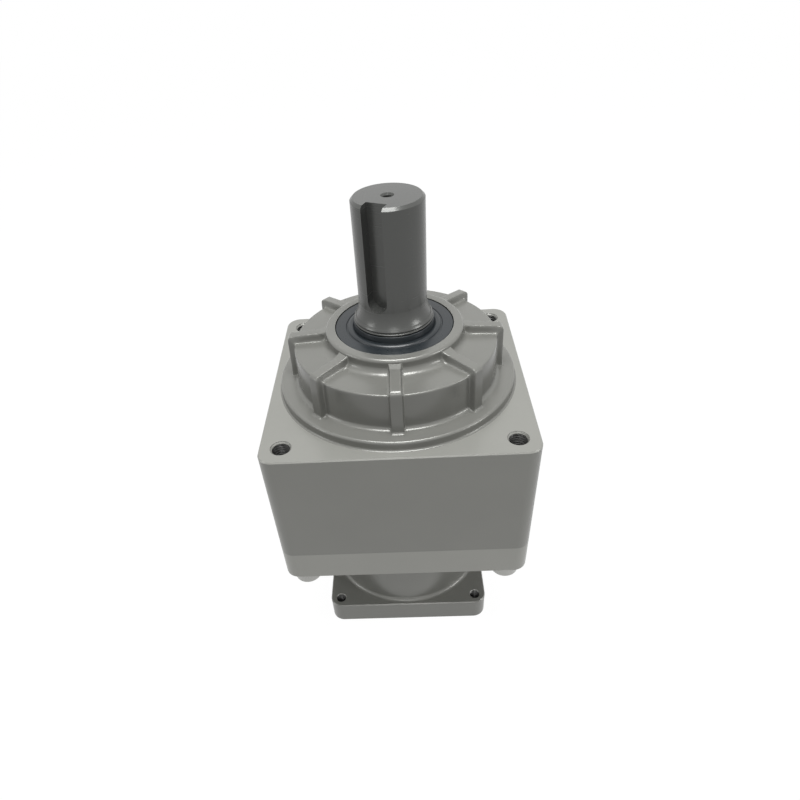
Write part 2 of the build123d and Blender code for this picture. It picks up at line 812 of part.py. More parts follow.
# Output sun: its hub is pressed into the first carrier's disc
with BuildPart() as output_sun_gear:
    with BuildSketch(Plane.XY.offset(first_disc_level)):
        Circle(sun_hub_radius)
    extrude(amount=output_plate_level - first_disc_level)
    with BuildSketch(Plane.XY.offset(output_plate_level)):
        with BuildLine():
            draw_teeth(output_sun_teeth, sun_turn(output_sun_teeth, output_planet_teeth))
        make_face()
    extrude(amount=output_planet_top - output_plate_level)
output_sun_gear.part.label = "output_sun_gear"
export_step(output_sun_gear.part, "parts/output_sun_gear.step")

# First carrier: disc and posts in one, with its planets hung between the disc and the plate
with BuildPart() as first_carrier:
    with BuildSketch(Plane.XY.offset(first_disc_level)):
        Circle(first_disc_radius)
        Circle(sun_hub_radius, mode=Mode.SUBTRACT)
    extrude(amount=first_disc_thickness)
    with BuildSketch(Plane.XY.offset(first_plate_top)):
        draw_posts(first_post_inner, first_post_outer, first_centre_distance, first_planet_teeth)
    extrude(amount=first_disc_level - first_plate_top)
    with BuildSketch(Plane.XY.offset(first_disc_level)):
        with PolarLocations(first_centre_distance, planet_count, start_angle=degrees(first_planet_direction)):
            Circle(first_pin_radius)
    extrude(amount=first_disc_thickness - running_gap, mode=Mode.SUBTRACT)
    with BuildSketch(Plane.XY.offset(first_plate_top)):
        with PolarLocations(first_screw_circle, planet_count, start_angle=post_turn):
            Circle(carrier_screw_radius)
    extrude(amount=carrier_screw_grip, mode=Mode.SUBTRACT)
first_carrier.part.label = "first_carrier"
export_step(first_carrier.part, "parts/first_carrier.step")

first_carrier_plate = carrier_plate(
    first_plate_radius,
    module * first_sun_teeth / 2 + addendum + running_gap,
    first_plate_level,
    first_plate_thickness,
    first_centre_distance,
    first_pin_radius,
    first_screw_circle,
)
first_carrier_plate.part.label = "first_carrier_plate"
export_step(first_carrier_plate.part, "parts/first_carrier_plate.step")

first_carrier_screws = carrier_screws(first_screw_circle, first_plate_level)
first_carrier_screws.part.label = "first_carrier_screws"
export_step(first_carrier_screws.part, "parts/first_carrier_screws.step")

first_planet_pins = planet_pins(
    first_centre_distance, first_pin_radius, first_plate_level + pin_inset, first_disc_top - running_gap
)
first_planet_pins.part.label = "first_planet_pins"
export_step(first_planet_pins.part, "parts/first_planet_pins.step")

first_thrust_washers = thrust_washers(
    first_centre_distance, first_pin_radius, first_planet_level, first_planet_top
)
first_thrust_washers.part.label = "first_thrust_washers"
export_step(first_thrust_washers.part, "parts/first_thrust_washers.step")

# Planets and their needles, one node for each because each turns by itself
for number, direction in enumerate(planet_directions, start=1):
    output_planet = planet_gear(
        direction,
        output_planet_teeth,
        output_centre_distance,
        output_planet_bore,
        output_planet_level,
        output_planet_width,
    )
    output_planet.part.label = f"output_planet_gear_{number}"
    export_step(output_planet.part, f"parts/output_planet_gear_{number}.step")
    first_planet = planet_gear(
        direction,
        first_planet_teeth,
        first_centre_distance,
        first_planet_bore,
        first_planet_level,
        first_planet_width,
    )
    first_planet.part.label = f"first_planet_gear_{number}"
    export_step(first_planet.part, f"parts/first_planet_gear_{number}.step")
    output_needles = needle_set(
        direction,
        output_centre_distance,
        output_needle_circle,
        output_needle_radius,
        output_needle_count,
        output_planet_level,
        output_planet_width,
    )
    output_needles.part.label = f"output_needles_{number}"
    export_step(output_needles.part, f"parts/output_needles_{number}.step")
    first_needles = needle_set(
        direction,
        first_centre_distance,
        first_needle_circle,
        first_needle_radius,
        first_needle_count,
        first_planet_level,
        first_planet_width,
    )
    first_needles.part.label = f"first_needles_{number}"
    export_step(first_needles.part, f"parts/first_needles_{number}.step")

# Input shaft: slotted clamping hub, seal and bearing journals, and the first sun on its end
with BuildPart() as input_shaft:
    with BuildSketch(Plane.XZ):
        with BuildLine():
            Polyline(
                (input_bore_radius, input_shaft_start),
                (hub_radius, input_shaft_start),
                (hub_radius, input_shaft_start + hub_length),
                (input_seal_journal, input_shaft_start + hub_length),
                (input_seal_journal, input_bearing_level),
                (input_journal, input_bearing_level),
                (input_journal, input_bearing_top),
                (input_journal - circlip_groove_depth, input_bearing_top),
                (input_journal - circlip_groove_depth, input_bearing_top + circlip_thickness + washer_gap),
                (input_journal, input_bearing_top + circlip_thickness + washer_gap),
                (input_journal, carrier_chamber_level - running_gap),
                (sun_neck_radius, carrier_chamber_level - running_gap),
                (sun_neck_radius, first_planet_top),
                (0, first_planet_top),
                (0, input_shaft_start + input_bore_depth),
                (input_bore_radius, input_shaft_start + input_bore_depth),
                close=True,
            )
        make_face()
    revolve(axis=Axis.Z)
    with BuildSketch(Plane.XY.offset(first_planet_level)):
        with BuildLine():
            draw_teeth(first_sun_teeth, sun_turn(first_sun_teeth, first_planet_teeth))
        make_face()
    extrude(amount=first_planet_width + sun_end_gap)
    with BuildSketch(Plane.XY.offset(input_shaft_start)):
        with PolarLocations(hub_radius, hub_slot_count, start_angle=180 / hub_slot_count):
            Rectangle(hub_radius, hub_slot_width)
    extrude(amount=hub_slot_length, mode=Mode.SUBTRACT)
input_shaft.part.label = "input_shaft"
export_step(input_shaft.part, "parts/input_shaft.step")

# Clamp ring: split on the +X side, with its screw lying across the slit
with BuildPart() as clamp_ring:
    with BuildSketch(Plane.XY.offset(clamp_ring_level)):
        Circle(clamp_ring_radius)
        Circle(hub_radius, mode=Mode.SUBTRACT)
        with Locations((clamp_ring_radius, 0)):
            Rectangle(2 * (clamp_ring_radius - hub_radius) + hub_radius, clamp_slit, mode=Mode.SUBTRACT)
    extrude(amount=clamp_ring_width)
    chamfer(clamp_ring.edges().filter_by(GeomType.CIRCLE), length=edge_chamfer)
    with BuildSketch(Plane.XZ.offset(-clamp_screw_seat)):
        with Locations((clamp_screw_offset, clamp_ring_level + clamp_ring_width / 2)):
            Circle(clamp_screw_head + lip_gap)
    extrude(amount=-clamp_ring_radius, mode=Mode.SUBTRACT)
    with BuildSketch(Plane.XZ.offset(-clamp_screw_seat)):
        with Locations((clamp_screw_offset, clamp_ring_level + clamp_ring_width / 2)):
            Circle(clamp_screw_radius)
    extrude(amount=clamp_screw_length, mode=Mode.SUBTRACT)
clamp_ring.part.label = "clamp_ring"
export_step(clamp_ring.part, "parts/clamp_ring.step")

with BuildPart() as clamp_screw:
    with BuildSketch(Plane.XZ.offset(-clamp_screw_seat)):
        with Locations((clamp_screw_offset, clamp_ring_level + clamp_ring_width / 2)):
            Circle(clamp_screw_radius)
    extrude(amount=clamp_screw_length - running_gap)
    with BuildSketch(Plane.XZ.offset(-clamp_screw_seat)):
        with Locations((clamp_screw_offset, clamp_ring_level + clamp_ring_width / 2)):
            Circle(clamp_screw_head)
    extrude(amount=-clamp_screw_head_height)
    with BuildSketch(Plane.XZ.offset(-clamp_screw_seat - clamp_screw_head_height)):
        with Locations((clamp_screw_offset, clamp_ring_level + clamp_ring_width / 2)):
            RegularPolygon(clamp_screw_head / 2, 6)
    extrude(amount=clamp_screw_head_height / 2, mode=Mode.SUBTRACT)
clamp_screw.part.label = "clamp_screw"
export_step(clamp_screw.part, "parts/clamp_screw.step")

# Three ball bearings, each with its two rings, balls and cage
bearings = (
    (
        "rear_bearing",
        rear_journal,
        rear_seat,
        rear_bearing_level,
        rear_bearing_width,
        rear_ball_radius,
        rear_ball_count,
    ),
    (
        "front_bearing",
        front_journal,
        front_seat,
        front_bearing_level,
        front_bearing_width,
        front_ball_radius,
        front_ball_count,
    ),
    (
        "input_bearing",
        input_journal,
        input_seat,
        input_bearing_level,
        input_bearing_width,
        input_ball_radius,
        input_ball_count,
    ),
)
for bearing_name, bore, outside, level, width, ball_radius, ball_count in bearings:
    pitch = (bore + outside) / 2
    shoulder = race_shoulder * ball_radius
    outer_ring = bearing_ring(pitch + shoulder, outside, level, width, pitch, ball_radius)
    outer_ring.part.label = f"{bearing_name}_outer_ring"
    export_step(outer_ring.part, f"parts/{bearing_name}_outer_ring.step")
    inner_ring = bearing_ring(bore, pitch - shoulder, level, width, pitch, ball_radius)
    inner_ring.part.label = f"{bearing_name}_inner_ring"
    export_step(inner_ring.part, f"parts/{bearing_name}_inner_ring.step")
    balls = bearing_balls(level, width, pitch, ball_radius, ball_count)
    balls.part.label = f"{bearing_name}_balls"
    export_step(balls.part, f"parts/{bearing_name}_balls.step")
    cage = bearing_cage(level, width, pitch, ball_radius, ball_count)
    cage.part.label = f"{bearing_name}_cage"
    export_step(cage.part, f"parts/{bearing_name}_cage.step")

with BuildPart() as bearing_spacer:
    with BuildSketch(Plane.XY.offset(rear_bearing_top)):
        Circle(front_journal + spacer_wall)
        Circle(front_journal, mode=Mode.SUBTRACT)
    extrude(amount=spacer_height)
bearing_spacer.part.label = "bearing_spacer"
export_step(bearing_spacer.part, "parts/bearing_spacer.step")

# Retaining rings: one on the output shaft, one round and one on the input bearing
output_circlip = circlip(
    front_journal - circlip_groove_depth,
    front_journal - circlip_groove_depth + circlip_band,
    front_bearing_top,
    1,
)
output_circlip.part.label = "output_circlip"
export_step(output_circlip.part, "parts/output_circlip.step")

input_bearing_circlip = circlip(
    input_seat + circlip_groove_depth - circlip_band, input_seat + circlip_groove_depth, input_bearing_top, -1
)
input_bearing_circlip.part.label = "input_bearing_circlip"
export_step(input_bearing_circlip.part, "parts/input_bearing_circlip.step")

input_shaft_circlip = circlip(
    input_journal - circlip_groove_depth,
    input_journal - circlip_groove_depth + circlip_band,
    input_bearing_top,
    1,
)
input_shaft_circlip.part.label = "input_shaft_circlip"
export_step(input_shaft_circlip.part, "parts/input_shaft_circlip.step")

# Shaft seals, each with the garter spring that pulls its lip in; both are open towards the gears
output_seal = radial_seal(
    output_seal_radius,
    output_seal_lip,
    output_seal_start,
    output_seal_width,
    boss_top + dust_lip_projection - output_seal_start,
)
output_seal.part.label = "output_seal"
export_step(output_seal.part, "parts/output_seal.step")

output_seal_spring = garter_spring(output_seal_lip, output_seal_start, output_seal_width)
output_seal_spring.part.label = "output_seal_spring"
export_step(output_seal_spring.part, "parts/output_seal_spring.step")

input_seal = radial_seal(
    input_seal_radius, input_seal_lip, input_seal_start, -input_seal_width, -input_seal_width - running_gap
)
input_seal.part.label = "input_seal"
export_step(input_seal.part, "parts/input_seal.step")

input_seal_spring = garter_spring(input_seal_lip, input_seal_start, -input_seal_width)
input_seal_spring.part.label = "input_seal_spring"
export_step(input_seal_spring.part, "parts/input_seal_spring.step")
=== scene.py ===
import json
from math import cos, pi, radians, sin

import bmesh
import bpy
import numpy as np
from mathutils import Matrix, Vector


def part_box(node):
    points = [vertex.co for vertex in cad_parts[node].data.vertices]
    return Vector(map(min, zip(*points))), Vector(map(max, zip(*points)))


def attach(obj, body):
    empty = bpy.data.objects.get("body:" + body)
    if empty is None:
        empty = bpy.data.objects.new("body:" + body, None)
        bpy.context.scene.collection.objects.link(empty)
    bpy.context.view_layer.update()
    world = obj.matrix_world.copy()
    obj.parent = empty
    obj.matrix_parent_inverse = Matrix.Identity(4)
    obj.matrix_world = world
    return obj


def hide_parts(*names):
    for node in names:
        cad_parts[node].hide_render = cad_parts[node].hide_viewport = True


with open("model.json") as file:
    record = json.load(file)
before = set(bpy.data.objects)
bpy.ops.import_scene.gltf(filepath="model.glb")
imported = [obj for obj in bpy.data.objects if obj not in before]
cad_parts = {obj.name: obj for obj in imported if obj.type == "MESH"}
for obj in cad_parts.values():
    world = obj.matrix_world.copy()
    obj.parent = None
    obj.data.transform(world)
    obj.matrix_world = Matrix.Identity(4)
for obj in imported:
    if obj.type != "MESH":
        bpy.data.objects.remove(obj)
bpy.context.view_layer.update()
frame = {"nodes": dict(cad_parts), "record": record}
nodes = frame["nodes"]
MM = 0.001
merge_distance = 1e-6

# Smooth shading breaks where faces turn by more than this
sharp_turn = radians(35)

# Levels and radii of the two castings, in millimetres, read from the frame where it states them
face_level = 187.0
pilot_radius = 74.0
pilot_height = 6.0
pilot_top = face_level + pilot_height
block_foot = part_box("output_housing")[0].z / MM
boss_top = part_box("output_housing")[1].z / MM
boss_radius = 41.8
boss_edge_level = 223.2
seal_radius = 36.0
seal_face_depth = 0.45
flange_top = 18.0
plate_thickness = 22.0
plate_level = block_foot - plate_thickness - 0.5

# Nose between the ribs and on a rib
nose_shelf_radius = 70.0
nose_mid_level = 206.0
wall_foot_radius = 62.4
wall_mid_radius = 62.15
wall_rim = (61.9, 216.1)
roof_middle = (52.0, 216.6)
roof_crown_level = 216.9
rib_foot_radius = 66.4
rib_mid_radius = 66.05
rib_corner = (65.7, 220.4)
rib_middle = (52.0, 221.7)
rib_inner_end = (45.6, 222.0)
rib_count = 8
rib_half_width = 3.65

# Tapped holes: where they stand, the drill's radius, and the thread's crest, root and pitch
mounting_spacing = 67.175
mounting_drill = 5.1
mounting_crest = 5.15
mounting_root = 6.05
mounting_pitch = 1.75
mounting_depth = 25.9
mounting_mouth = 6.3
mounting_mouth_foot = 5.25
motor_spacing = 51.265
motor_drill = 3.4
motor_crest = 3.42
motor_root = 4.05
motor_pitch = 1.25
motor_mouth = 4.1
motor_mouth_foot = 3.5
hair = 0.05
mounting_holes = [(mounting_spacing * i, mounting_spacing * j) for i in (-1, 1) for j in (-1, 1)]
motor_holes = [(motor_spacing * i, motor_spacing * j) for i in (-1, 1) for j in (-1, 1)]


def mesh_piece(name, points, faces, material, body):
    """A mesh in metres from points in millimetres, shaded smooth up to the sharp turn."""
    mesh = bpy.data.meshes.new(name)
    mesh.from_pydata((points * MM).tolist(), [], faces.tolist())
    piece = bpy.data.objects.new(name, mesh)
    bpy.context.scene.collection.objects.link(piece)
    mesh.shade_smooth()
    mesh.set_sharp_from_angle(angle=sharp_turn)
    mesh.materials.append(material)
    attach(piece, body)
    return piece


def grid_faces(rows, columns, wrap_rows=False, wrap_columns=False):
    """Quads that join each point of a grid to its neighbours, row by row."""
    row = np.arange(rows if wrap_rows else rows - 1)[:, None]
    column = np.arange(columns if wrap_columns else columns - 1)[None, :]
    next_row = (row + 1) % rows
    next_column = (column + 1) % columns
    corners = (
        row * columns + column,
        row * columns + next_column,
        next_row * columns + next_column,
        next_row * columns + column,
    )
    shape = (row.size, column.size)
    return np.stack([np.broadcast_to(corner, shape) for corner in corners], axis=-1).reshape(-1, 4)


def rounded_path(corners, radii, steps=8):
    """A polyline whose corners are replaced by arcs: each arc is tangent to both runs at its corner."""
    corners = np.asarray(corners, float)
    points = [corners[:1]]
    for before, corner, after, radius in zip(corners[:-2], corners[1:-1], corners[2:], radii):
        toward = (before - corner) / np.linalg.norm(before - corner)
        away = (after - corner) / np.linalg.norm(after - corner)
        half = np.arccos(np.clip(toward @ away, -1, 1)) / 2
        middle = (toward + away) / np.linalg.norm(toward + away)
        centre = corner + middle * radius / np.sin(half)
        start = corner + toward * radius / np.tan(half) - centre
        end = corner + away * radius / np.tan(half) - centre
        share = np.linspace(0, 1, steps)[:, None]
        turn = pi - 2 * half
        arc = (np.sin((1 - share) * turn) * start + np.sin(share * turn) * end) / np.sin(turn)
        points.append(centre + arc)
    points.append(corners[-1:])
    return np.concatenate(points)


def turned(profile, count=256):
    """Points of a profile of radius and height turned once about Z."""
    angle = np.linspace(0, 2 * pi, count, endpoint=False)[:, None]
    radius = profile[None, :, 0]
    height = np.broadcast_to(profile[None, :, 1], (count, len(profile)))
    return np.stack([radius * np.cos(angle), radius * np.sin(angle), height], axis=-1)


def turned_piece(name, profile, material, body, count=256, middle=(0, 0)):
    """A closed ring: a closed profile of radius and height turned about an upright line."""
    points = turned(profile, count) + np.array([*middle, 0])
    faces = grid_faces(count, len(profile), wrap_rows=True, wrap_columns=True)
    return mesh_piece(name, points.reshape(-1, 3), faces, material, body)


# Materials

cloud_scale = (25, 25, 25)
bump_distance = 0.0002

def new_material(name):
    """An empty node material with a Principled shader, and its node tree."""
    material = bpy.data.materials.new(name)
    material.use_nodes = True
    return material, material.node_tree.nodes, material.node_tree.links


def scaled_coordinates(tree_nodes, links, scale):
    """Object coordinates stretched by a scale for each axis, in turns per metre."""
    place = tree_nodes.new("ShaderNodeTexCoord")
    mapping = tree_nodes.new("ShaderNodeMapping")
    mapping.inputs["Scale"].default_value = scale
    links.new(place.outputs["Object"], mapping.inputs["Vector"])
    return mapping.outputs["Vector"]


def noise(tree_nodes, links, scale, detail):
    """The value of a noise pattern on Object coordinates."""
    texture = tree_nodes.new("ShaderNodeTexNoise")
    texture.inputs["Scale"].default_value = 1.0
    texture.inputs["Detail"].default_value = detail
    links.new(scaled_coordinates(tree_nodes, links, scale), texture.inputs["Vector"])
    return texture.outputs["Fac"]


def two_tone(tree_nodes, links, value, dark, light):
    """A colour that runs from dark to light with a value."""
    ramp = tree_nodes.new("ShaderNodeValToRGB")
    ramp.color_ramp.elements[0].color = (*dark, 1)
    ramp.color_ramp.elements[0].position = 0.3
    ramp.color_ramp.elements[1].color = (*light, 1)
    ramp.color_ramp.elements[1].position = 0.7
    links.new(value, ramp.inputs["Fac"])
    return ramp.outputs["Color"]


def metal(name, colour, spread, roughness, grain, bump, metallic, sparkle=0.08):
    """A metal or rubber: a slow cloud varies its colour, and a fine grain its roughness and its surface."""
    material, tree_nodes, links = new_material(name)
    shader = tree_nodes["Principled BSDF"]
    shader.inputs["Metallic"].default_value = metallic
    dark = tuple(c * (1 - spread) for c in colour)
    light = tuple(c * (1 + spread) for c in colour)
    cloud = noise(tree_nodes, links, cloud_scale, 3.0)
    links.new(two_tone(tree_nodes, links, cloud, dark, light), shader.inputs["Base Color"])
    fine = noise(tree_nodes, links, grain, 4.0)
    spreader = tree_nodes.new("ShaderNodeMapRange")
    spreader.inputs["To Min"].default_value = roughness - sparkle
    spreader.inputs["To Max"].default_value = roughness + sparkle
    links.new(fine, spreader.inputs["Value"])
    links.new(spreader.outputs["Result"], shader.inputs["Roughness"])
    bumper = tree_nodes.new("ShaderNodeBump")
    bumper.inputs["Strength"].default_value = bump
    bumper.inputs["Distance"].default_value = bump_distance
    links.new(fine, bumper.inputs["Height"])
    links.new(bumper.outputs["Normal"], shader.inputs["Normal"])
    return material


cast_nose = metal(
    "cast_nose", (0.18, 0.181, 0.167), 0.03, 0.25, (1100, 1100, 1100), 0.01, 0.15, sparkle=0.015
)
milled_block = metal(
    "milled_block", (0.265, 0.266, 0.246), 0.02, 0.3, (60, 60, 1300), 0.001, 0.15, sparkle=0.01
)
turned_adapter = metal(
    "turned_adapter", (0.28, 0.281, 0.26), 0.03, 0.3, (90, 90, 1800), 0.01, 0.15, sparkle=0.02
)
milled_plate = metal(
    "milled_plate", (0.38, 0.381, 0.352), 0.02, 0.3, (60, 60, 1300), 0.001, 0.15, sparkle=0.01
)
ground_shaft = metal(
    "ground_shaft", (0.082, 0.084, 0.08), 0.02, 0.27, (40, 40, 1500), 0.003, 0.35, sparkle=0.01
)
gear_steel = metal("gear_steel", (0.33, 0.33, 0.34), 0.05, 0.3, (1500, 1500, 60), 0.1, 0.8)
bearing_steel = metal("bearing_steel", (0.5, 0.5, 0.52), 0.03, 0.16, (60, 60, 3000), 0.04, 0.9)
plated_screw = metal("plated_screw", (0.45, 0.45, 0.43), 0.08, 0.3, (1200, 1200, 1200), 0.1, 0.5)
dark_clip = metal("dark_clip", (0.06, 0.06, 0.065), 0.1, 0.4, (900, 900, 900), 0.1, 0.6)
turned_aluminium = metal("turned_aluminium", (0.45, 0.45, 0.45), 0.04, 0.3, (60, 60, 3000), 0.1, 0.7)
seal_rubber = metal("seal_rubber", (0.014, 0.018, 0.021), 0.1, 0.3, (700, 700, 700), 0.03, 0.0)
# Painted shade: the thread walls inside the tapped holes are the housing's metal, coloured near-black for
# the shade that falls in the holes
thread_wall_painted_shade = metal("thread_wall_painted_shade", (0.05, 0.05, 0.048), 0.04, 0.3, (900, 900, 900), 0.05, 0.4)
plug_rubber = metal("plug_rubber", (0.012, 0.012, 0.012), 0.15, 0.55, (900, 900, 900), 0.2, 0.0)
cage_plastic = metal("cage_plastic", (0.11, 0.08, 0.045), 0.1, 0.5, (600, 600, 600), 0.1, 0.0)

finishes = {
    "housing": milled_block,
    "adapter": turned_adapter,
    "shaft_steel": ground_shaft,
    "gear_steel": gear_steel,
    "carrier_steel": gear_steel,
    "bearing_steel": bearing_steel,
    "cage_plastic": cage_plastic,
    "washer_steel": turned_aluminium,
    "clip_steel": dark_clip,
    "screw_steel": plated_screw,
    "clamp_aluminium": turned_aluminium,
    "seal_rubber": seal_rubber,
    "plug_rubber": plug_rubber,
}
for entry in frame["record"]["subparts"]:
    node = nodes[entry["node"]]
    node.data.materials.clear()
    node.data.materials.append(finishes[entry["material_slot"]])

# Nose casting


def nose_profiles():
    """Two matching runs of radius and height, from the disc's foot to the bore: between ribs, and on one."""
    shelf = (nose_shelf_radius, pilot_top)
    wall_middle = (wall_mid_radius, nose_mid_level)
    rib_wall_middle = (rib_mid_radius, nose_mid_level)
    boss_edge = (boss_radius, boss_edge_level)
    foot = [(75.6, face_level - 0.02), (pilot_radius, face_level), (pilot_radius, pilot_top), shelf]
    disc = rounded_path(foot, [1.3, 1.5])
    plain = [
        disc,
        rounded_path([shelf, (wall_foot_radius, pilot_top), wall_middle], [2.5]),
        rounded_path([wall_middle, wall_rim, roof_middle], [1.0]),
        rounded_path([roof_middle, (boss_radius, roof_crown_level), boss_edge], [4.4]),
    ]
    ribbed = [
        disc,
        rounded_path([shelf, (rib_foot_radius, pilot_top), rib_wall_middle], [1.6]),
        rounded_path([rib_wall_middle, rib_corner, rib_middle], [2.9]),
        rounded_path([rib_middle, rib_inner_end, boss_edge], [5.0]),
    ]
    bore_edge = [(seal_radius - 0.4, boss_top), (seal_radius, 224.4), (seal_radius, 216)]
    crown = rounded_path([boss_edge, (boss_radius, boss_top), *bore_edge], [1.9, 0.3, 0.1])
    inside = np.array([(34.5, 213.65), (34.5, 208), (45, 208), (45, 188), (72, 186.4)], float)
    plain_run = np.concatenate([spread(run) for run in plain] + [crown, inside])
    ribbed_run = np.concatenate([spread(run) for run in ribbed] + [crown, inside])
    return plain_run, ribbed_run


def spread(run, count=26):
    """A run of points spaced again, half by length and half by turn, to keep its corners."""
    step = np.linalg.norm(np.diff(run, axis=0), axis=1)
    direction = np.unwrap(np.arctan2(np.diff(run[:, 1]), np.diff(run[:, 0])))
    turn = np.concatenate([[0], np.abs(np.diff(direction))])
    least_turn = 1e-6
    weight = np.cumsum(np.concatenate([[0], step / step.sum() + turn / max(turn.sum(), least_turn)]))
    weight /= weight[-1]
    share = np.linspace(0, 1, count)
    return np.stack([np.interp(share, weight, run[:, 0]), np.interp(share, weight, run[:, 1])], axis=1)


def rib_share(distance):
    """How much of the rib stands at a distance from its middle: a steep side with a round foot and edge."""
    steep = 1 / (1 + np.exp((distance - rib_half_width) / 0.12))
    foot = 1 / (1 + np.exp((distance - rib_half_width - 0.5) / 0.3))
    return 0.88 * steep + 0.12 * foot


def make_nose():
    """The ribbed nose as one grid. Columns near a rib keep their distance from its middle at every radius,
    so the rib's sides are straight; the others share out the angle that is left to the next rib."""
    plain_run, ribbed_run = nose_profiles()
    near = np.concatenate([np.linspace(0, 2.6, 5), np.linspace(2.8, 6.9, 26)])
    far = np.linspace(0, 1, 9)[1:-1]
    outward = plain_run[:, 0]
    narrowing = 0.45 * np.clip((62 - outward) / 1.5, 0, 1)
    flare = 0.7 * np.exp((boss_radius - 0.8 - np.maximum(outward, boss_radius)) / 1.5)
    share = rib_share(near[:, None] + (narrowing - flare)[None, :])
    share[-1] = 0
    share = np.concatenate([share, np.zeros((len(far), len(outward)))])
    radius = plain_run[None, :, 0] + share * (ribbed_run - plain_run)[None, :, 0]
    height = plain_run[None, :, 1] + share * (ribbed_run - plain_run)[None, :, 1]
    sector = pi / rib_count
    near_angle = np.arcsin(near[:, None] / radius[: len(near)])
    edge_angle = np.arcsin(near[-1] / plain_run[None, :, 0])
    far_angle = edge_angle + far[:, None] * (sector - edge_angle)
    half = np.concatenate([near_angle, far_angle])
    angle = np.concatenate([-half[:0:-1], half, np.full((1, half.shape[1]), sector)])
    radius = np.concatenate([radius[:0:-1], radius, plain_run[None, :, 0]])
    height = np.concatenate([height[:0:-1], height, plain_run[None, :, 1]])
    turns = -pi / 2 + 2 * sector * np.arange(rib_count)
    angle = (turns[:, None, None] + angle[None]).reshape(-1, angle.shape[1])
    radius = np.tile(radius, (rib_count, 1))
    height = np.tile(height, (rib_count, 1))
    points = np.stack([radius * np.cos(angle), radius * np.sin(angle), height], axis=-1)
    faces = grid_faces(*radius.shape, wrap_rows=True, wrap_columns=True)[:, ::-1]
    return mesh_piece("housing_nose", points.reshape(-1, 3), faces, cast_nose, "housing")


def make_block():
    """The square lower part of the housing, from the frame's own solid with the nose left off."""
    piece, form, mesh = widened_copy(
        "housing_block", "output_housing", mounting_holes, mounting_drill, mounting_root
    )
    nose_faces = [
        face for face in form.faces
        if max(v.co.z for v in face.verts) > (face_level + 0.01) * MM
        and max(v.co.xy.length for v in face.verts) < (pilot_radius + 0.5) * MM
    ]
    bmesh.ops.delete(form, geom=nose_faces, context="FACES")
    close_copy(piece, form, mesh, milled_block)
    return piece


def make_adapter():
    """The motor adapter, with room for the threads in its flange and a lighter square plate."""
    piece, form, mesh = widened_copy(
        "adapter_body", "motor_adapter", motor_holes, motor_drill, motor_root
    )
    close_copy(piece, form, mesh, turned_adapter)
    mesh.materials.append(milled_plate)
    for face in mesh.polygons:
        if face.center.z > plate_level * MM:
            face.material_index = 1
    return piece


def make_seal():
    """The seal's face: flat outside, then a low bead, and a lip that stands up to the shaft's collar."""
    face = boss_top - seal_face_depth
    back = face - 9
    outer = rounded_path([(35.75, back), (35.75, face - 0.7), (35.2, face), (29.2, face)], [0.2, 0.3])
    step = rounded_path([(29.2, face), (28.8, face - 0.45), (28.2, face - 0.3)], [0.1])
    angle = np.linspace(0, pi, 18)
    bead = np.stack([26.1 + 2.1 * np.cos(angle), face - 0.3 + 1.3 * np.sin(angle)], axis=1)
    lip_top = face + 4.2
    lip_outside = [(24.0, face - 0.3), (24.3, face + 0.3), (23.9, lip_top)]
    lip_inside = [(22.75, lip_top), (22.7, face)]
    lip = rounded_path(lip_outside + lip_inside, [0.3, 0.4, 0.2])
    inside = np.array([(23.6, face - 5), (25, back)], float)
    profile = np.concatenate([outer, step, bead, lip, inside])[::-1]
    return turned_piece("seal_face", profile, seal_rubber, "housing")


def widened_copy(name, node, holes, drilled, opened):
    """A copy of a node with its tapped holes opened to the thread's root, to make room for thread forms."""
    mesh = nodes[node].data.copy()
    piece = bpy.data.objects.new(name, mesh)
    bpy.context.scene.collection.objects.link(piece)
    form = bmesh.new()
    form.from_mesh(mesh)
    bmesh.ops.remove_doubles(form, verts=form.verts, dist=merge_distance)
    for vert in form.verts:
        for x, y in holes:
            across = Vector((vert.co.x - x * MM, vert.co.y - y * MM))
            if abs(across.length - drilled * MM) < hair * MM:
                across *= opened / drilled
                vert.co.x = x * MM + across.x
                vert.co.y = y * MM + across.y
    return piece, form, mesh


def close_copy(piece, form, mesh, material):
    """The changed form put back in its mesh, shaded smooth, as a piece of the housing body."""
    form.to_mesh(mesh)
    form.free()
    if "custom_normal" in mesh.attributes:
        mesh.attributes.remove(mesh.attributes["custom_normal"])
    mesh.shade_smooth()
    mesh.set_sharp_from_angle(angle=sharp_turn)
    mesh.materials.clear()
    mesh.materials.append(material)
    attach(piece, "housing")
    return piece


def make_thread(name, x, y, crest, root, pitch, low, high, ends):
    """A tapped thread as a closed sleeve: a V wave along a helix, opened in a cone at its ends."""
    columns = 64
    rows_per_turn = 8
    rows = int((high - low) / pitch * rows_per_turn)
    angle = np.linspace(0, 2 * pi, columns, endpoint=False)[None, :]
    height = np.linspace(low, high, rows)[:, None]
    phase = (height / pitch - angle / (2 * pi)) % 1
    wave = np.abs(2 * phase - 1)
    bore = crest + (root - crest) * np.clip(1.25 * wave - 0.1, 0, 1)
    for level, side in ends:
        bore = np.maximum(bore, root + 0.2 - side * (level - height))
    bore = np.minimum(bore, root + 0.02)
    outer = np.full((1, columns), root + 0.06)
    radius = np.concatenate([bore, outer, outer])
    top = np.full((1, columns), high)
    bottom = np.full((1, columns), low)
    level = np.concatenate([np.broadcast_to(height, bore.shape), top, bottom])
    turn = np.broadcast_to(angle, radius.shape)
    points = np.stack([x + radius * np.cos(turn), y + radius * np.sin(turn), level], axis=-1)
    faces = grid_faces(rows + 2, columns, wrap_rows=True, wrap_columns=True)
    # The thread sleeve carries painted shade: its near-black colour stands in for the shade inside the hole
    return mesh_piece(name, points.reshape(-1, 3), faces, thread_wall_painted_shade, "housing")


def make_hole_edge(name, x, y, outer, inner, level, material):
    """The bright cone at a tapped hole's mouth: a closed ring that slopes from the face to the thread."""
    cone_foot = level - (outer - inner)
    ring_foot = cone_foot - 0.4
    profile = np.array([(inner, ring_foot), (outer, ring_foot), (outer, level - 0.01), (inner, cone_foot)])
    return turned_piece(name, profile, material, "housing", 64, (x, y))


